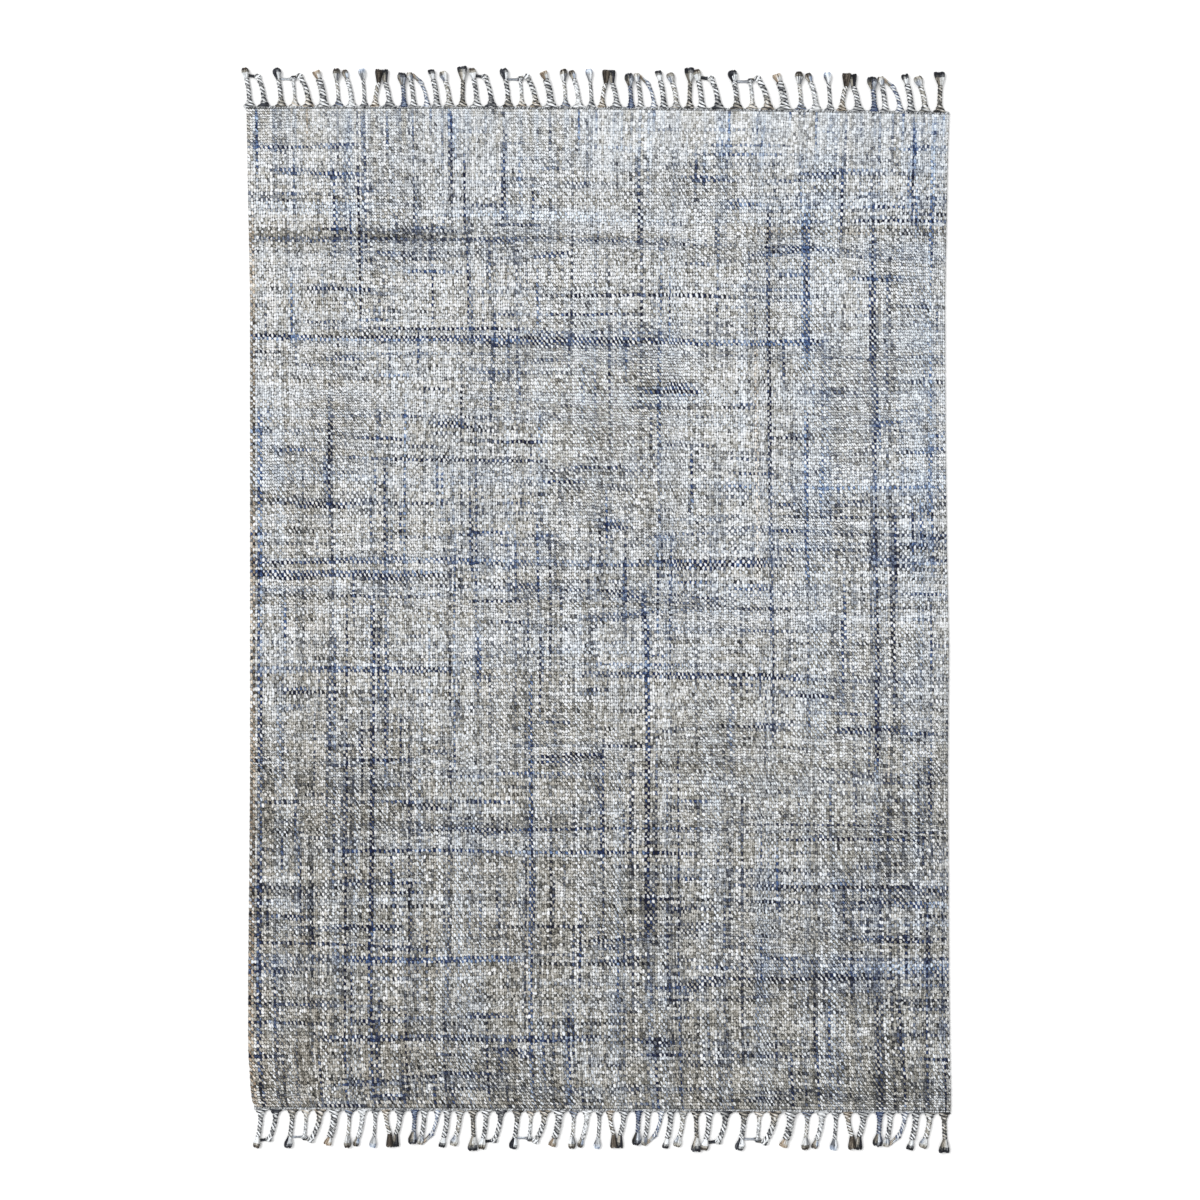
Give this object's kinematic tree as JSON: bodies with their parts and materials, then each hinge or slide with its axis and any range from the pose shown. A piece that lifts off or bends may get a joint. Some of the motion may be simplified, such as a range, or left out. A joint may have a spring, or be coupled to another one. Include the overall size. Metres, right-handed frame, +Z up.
{
  "type": "handwoven rug",
  "caption": "Flat rectangular handwoven rug in heathered grey and indigo yarns, with a knotted twisted fringe along both ends.",
  "frame": {"origin": "on the floor, under the middle of the rug's whole box, fringe included", "axes": "+Z up from the floor, +Y along the warp towards the rug's head, +X across the rug to the right"},
  "size_m": [1.625, 2.4876, 0.013],
  "materials": {
    "woven_yarn": "matt plain weave of heathered wool and cotton yarns, grey with indigo, light blue and charcoal streaks",
    "fringe_yarn": "matt plied yarn, grey, greige, brown and blue, tied and trimmed to tufts"
  },
  "bodies": {
    "root": {"woven_field": "woven_yarn", "fringe_head": "fringe_yarn", "fringe_foot": "fringe_yarn"}
  },
  "joints": []
}
